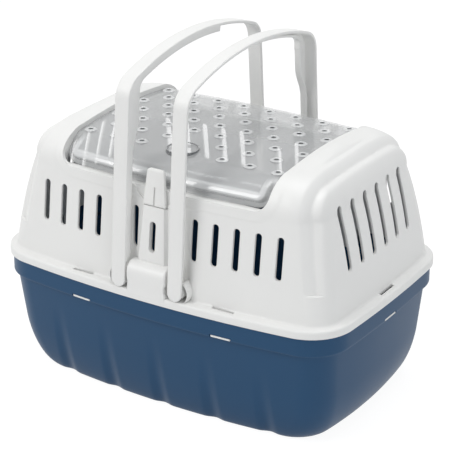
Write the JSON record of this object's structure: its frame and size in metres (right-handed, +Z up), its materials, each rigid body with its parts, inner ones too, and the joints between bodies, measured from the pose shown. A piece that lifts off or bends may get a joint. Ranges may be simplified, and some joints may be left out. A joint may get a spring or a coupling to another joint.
{
  "type": "small pet carrier",
  "caption": "Plastic small-pet carrier: deep blue tray, vented white upper shell, clear hinged roof with air holes, sprung latch and two folding hoop handles.",
  "frame": {"origin": "on the floor under the middle of the carrier", "axes": "+X along the long side to the right as the latch is faced, +Y to the rear, away from the latch, +Z up"},
  "size_m": [0.4, 0.269, 0.359],
  "materials": {
    "blue_plastic": "satin moulded polypropylene",
    "white_plastic": "satin moulded polypropylene",
    "clear_plastic": "clear glossy moulded polystyrene"
  },
  "bodies": {
    "tray": {"base_tray": "blue_plastic"},
    "upper_shell": {"upper_shell": "white_plastic"},
    "roof": {"roof_lid": "clear_plastic"},
    "latch": {"front_latch": "white_plastic"},
    "handle_left": {"left_handle": "white_plastic"},
    "handle_right": {"right_handle": "white_plastic"},
    "tongue_front_left": {"snap_tongue_front_left": "white_plastic"},
    "tongue_front_right": {"snap_tongue_front_right": "white_plastic"},
    "tongue_rear_left": {"snap_tongue_rear_left": "white_plastic"},
    "tongue_rear_right": {"snap_tongue_rear_right": "white_plastic"},
    "tongue_left_end": {"snap_tongue_left_end": "white_plastic"},
    "tongue_right_end": {"snap_tongue_right_end": "white_plastic"}
  },
  "joints": [
    {"name": "shell_lift", "type": "slide", "parent": "tray", "child": "upper_shell", "axis": [0, 0, 1], "range_m": [0, 0.15]},
    {"name": "roof_hinge", "type": "hinge", "parent": "upper_shell", "child": "roof", "pos_m": [0, 0.10556, 0.2415], "axis": [-1, 0, 0], "range_deg": [0, 20]},
    {"name": "latch_flex", "type": "hinge", "parent": "upper_shell", "child": "latch", "pos_m": [0, -0.1154, 0.22092], "axis": [1, 0, 0], "range_deg": [0, 8], "stiffness_Nm_per_rad": 0.1},
    {"name": "left_handle_swing", "type": "hinge", "parent": "upper_shell", "child": "handle_left", "pos_m": [-0.0328, 0, 0.142], "axis": [0, -1, 0], "range_deg": [-6.4, 90]},
    {"name": "right_handle_swing", "type": "hinge", "parent": "upper_shell", "child": "handle_right", "pos_m": [0.0328, 0, 0.142], "axis": [0, 1, 0], "range_deg": [-6.4, 90]},
    {"name": "snap_front_left", "type": "hinge", "parent": "upper_shell", "child": "tongue_front_left", "pos_m": [-0.082, -0.12411, 0.1297], "axis": [1, 0, 0], "range_deg": [0, 4], "stiffness_Nm_per_rad": 0.02},
    {"name": "snap_front_right", "type": "hinge", "parent": "upper_shell", "child": "tongue_front_right", "pos_m": [0.082, -0.12411, 0.1297], "axis": [1, 0, 0], "range_deg": [0, 4], "stiffness_Nm_per_rad": 0.02},
    {"name": "snap_rear_left", "type": "hinge", "parent": "upper_shell", "child": "tongue_rear_left", "pos_m": [-0.082, 0.12411, 0.1297], "axis": [-1, 0, 0], "range_deg": [0, 4], "stiffness_Nm_per_rad": 0.02},
    {"name": "snap_rear_right", "type": "hinge", "parent": "upper_shell", "child": "tongue_rear_right", "pos_m": [0.082, 0.12411, 0.1297], "axis": [-1, 0, 0], "range_deg": [0, 4], "stiffness_Nm_per_rad": 0.02},
    {"name": "snap_left_end", "type": "hinge", "parent": "upper_shell", "child": "tongue_left_end", "pos_m": [-0.1933, 0, 0.1297], "axis": [0, -1, 0], "range_deg": [0, 4], "stiffness_Nm_per_rad": 0.02},
    {"name": "snap_right_end", "type": "hinge", "parent": "upper_shell", "child": "tongue_right_end", "pos_m": [0.1933, 0, 0.1297], "axis": [0, 1, 0], "range_deg": [0, 4], "stiffness_Nm_per_rad": 0.02}
  ]
}
